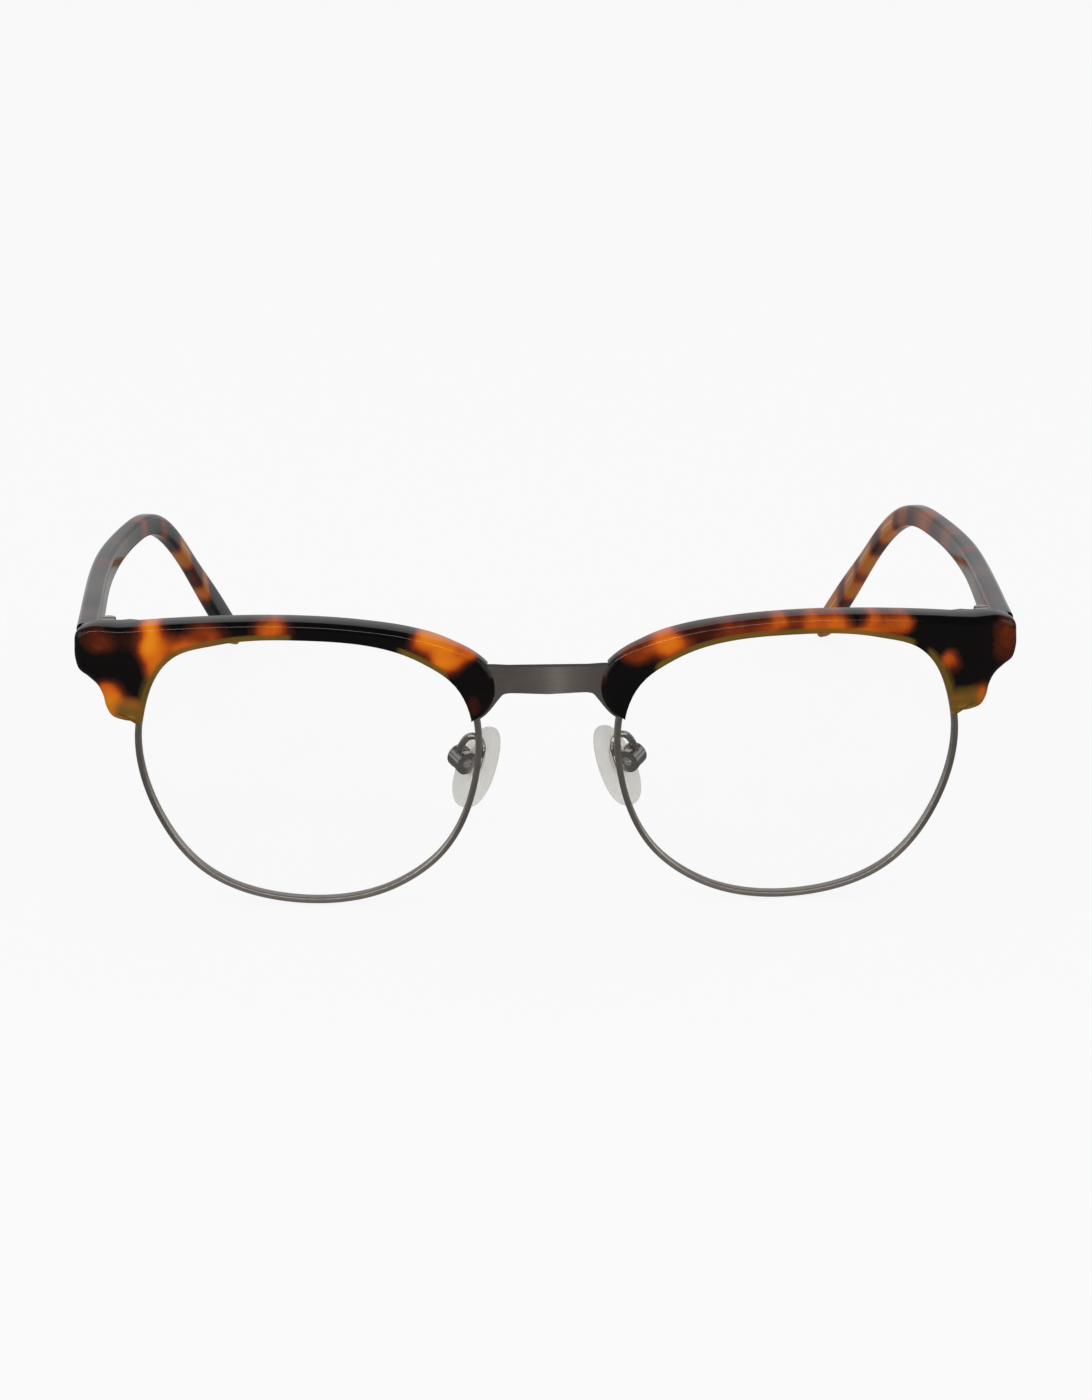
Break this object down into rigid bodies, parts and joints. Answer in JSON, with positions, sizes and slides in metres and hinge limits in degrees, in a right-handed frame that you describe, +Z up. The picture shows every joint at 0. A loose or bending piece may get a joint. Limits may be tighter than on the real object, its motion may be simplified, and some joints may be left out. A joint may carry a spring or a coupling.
{
  "type": "browline glasses",
  "caption": "Browline glasses: metal rims and bridge under plastic brow bars, clear lenses, nose pads on wire arms and folding plastic temples with wire cores.",
  "frame": {"origin": "ground level, below the middle of the bounding box, with the glasses open and standing on the lower rims and the temple tips", "axes": "+Y from the front towards the wearer's ears, +Z up, +X towards the wearer's left"},
  "size_m": [0.1444, 0.1376, 0.0456],
  "materials": {
    "acetate": "polished mottled brown, black, orange and olive",
    "gunmetal": "brushed warm grey",
    "screw_steel": "plain",
    "lens": "clear, uncoated",
    "pad": "clear, slightly smoky",
    "insert": "translucent",
    "core_wire": "bright drawn wire"
  },
  "bodies": {
    "front": {"rim_right": "gunmetal", "rim_left": "gunmetal", "bridge": "gunmetal", "closing_block_upper_right": "gunmetal", "closing_block_upper_left": "gunmetal", "closing_block_lower_right": "gunmetal", "closing_block_lower_left": "gunmetal", "rim_screw_right": "screw_steel", "rim_screw_left": "screw_steel", "lens_right": "lens", "lens_left": "lens", "brow_right": "acetate", "brow_left": "acetate", "end_plate_right": "gunmetal", "end_plate_left": "gunmetal", "end_plate_screws": "screw_steel", "bridge_screws": "screw_steel", "pad_arm_right": "gunmetal", "pad_arm_left": "gunmetal", "pad_screw_right": "screw_steel", "pad_screw_left": "screw_steel", "hinge_screw_right": "screw_steel", "hinge_screw_left": "screw_steel"},
    "temple_left_arm": {"temple_left": "acetate", "core_wire_left": "core_wire", "temple_hinge_left": "gunmetal", "temple_rivets_left": "screw_steel"},
    "temple_right_arm": {"temple_right": "acetate", "core_wire_right": "core_wire", "temple_hinge_right": "gunmetal", "temple_rivets_right": "screw_steel"},
    "pad_left": {"nose_pad_left": "pad", "pad_insert_left": "insert"},
    "pad_right": {"nose_pad_right": "pad", "pad_insert_right": "insert"}
  },
  "joints": [
    {"name": "temple_left_fold", "type": "hinge", "parent": "front", "child": "temple_left_arm", "pos_m": [0.06539, -0.05782, 0.04025], "axis": [0, -0.0471, 0.9989], "range_deg": [0, 85]},
    {"name": "temple_right_fold", "type": "hinge", "parent": "front", "child": "temple_right_arm", "pos_m": [-0.06539, -0.05782, 0.04025], "axis": [0, 0.0471, -0.9989], "range_deg": [0, 78]},
    {"name": "pad_left_rock", "type": "hinge", "parent": "front", "child": "pad_left", "pos_m": [0.01274, -0.06034, 0.02131], "axis": [0.4913, 0.8378, 0.2382], "range_deg": [-10, 10]},
    {"name": "pad_right_rock", "type": "hinge", "parent": "front", "child": "pad_right", "pos_m": [-0.01274, -0.06034, 0.02131], "axis": [-0.4913, 0.8378, 0.2382], "range_deg": [-10, 10]}
  ]
}
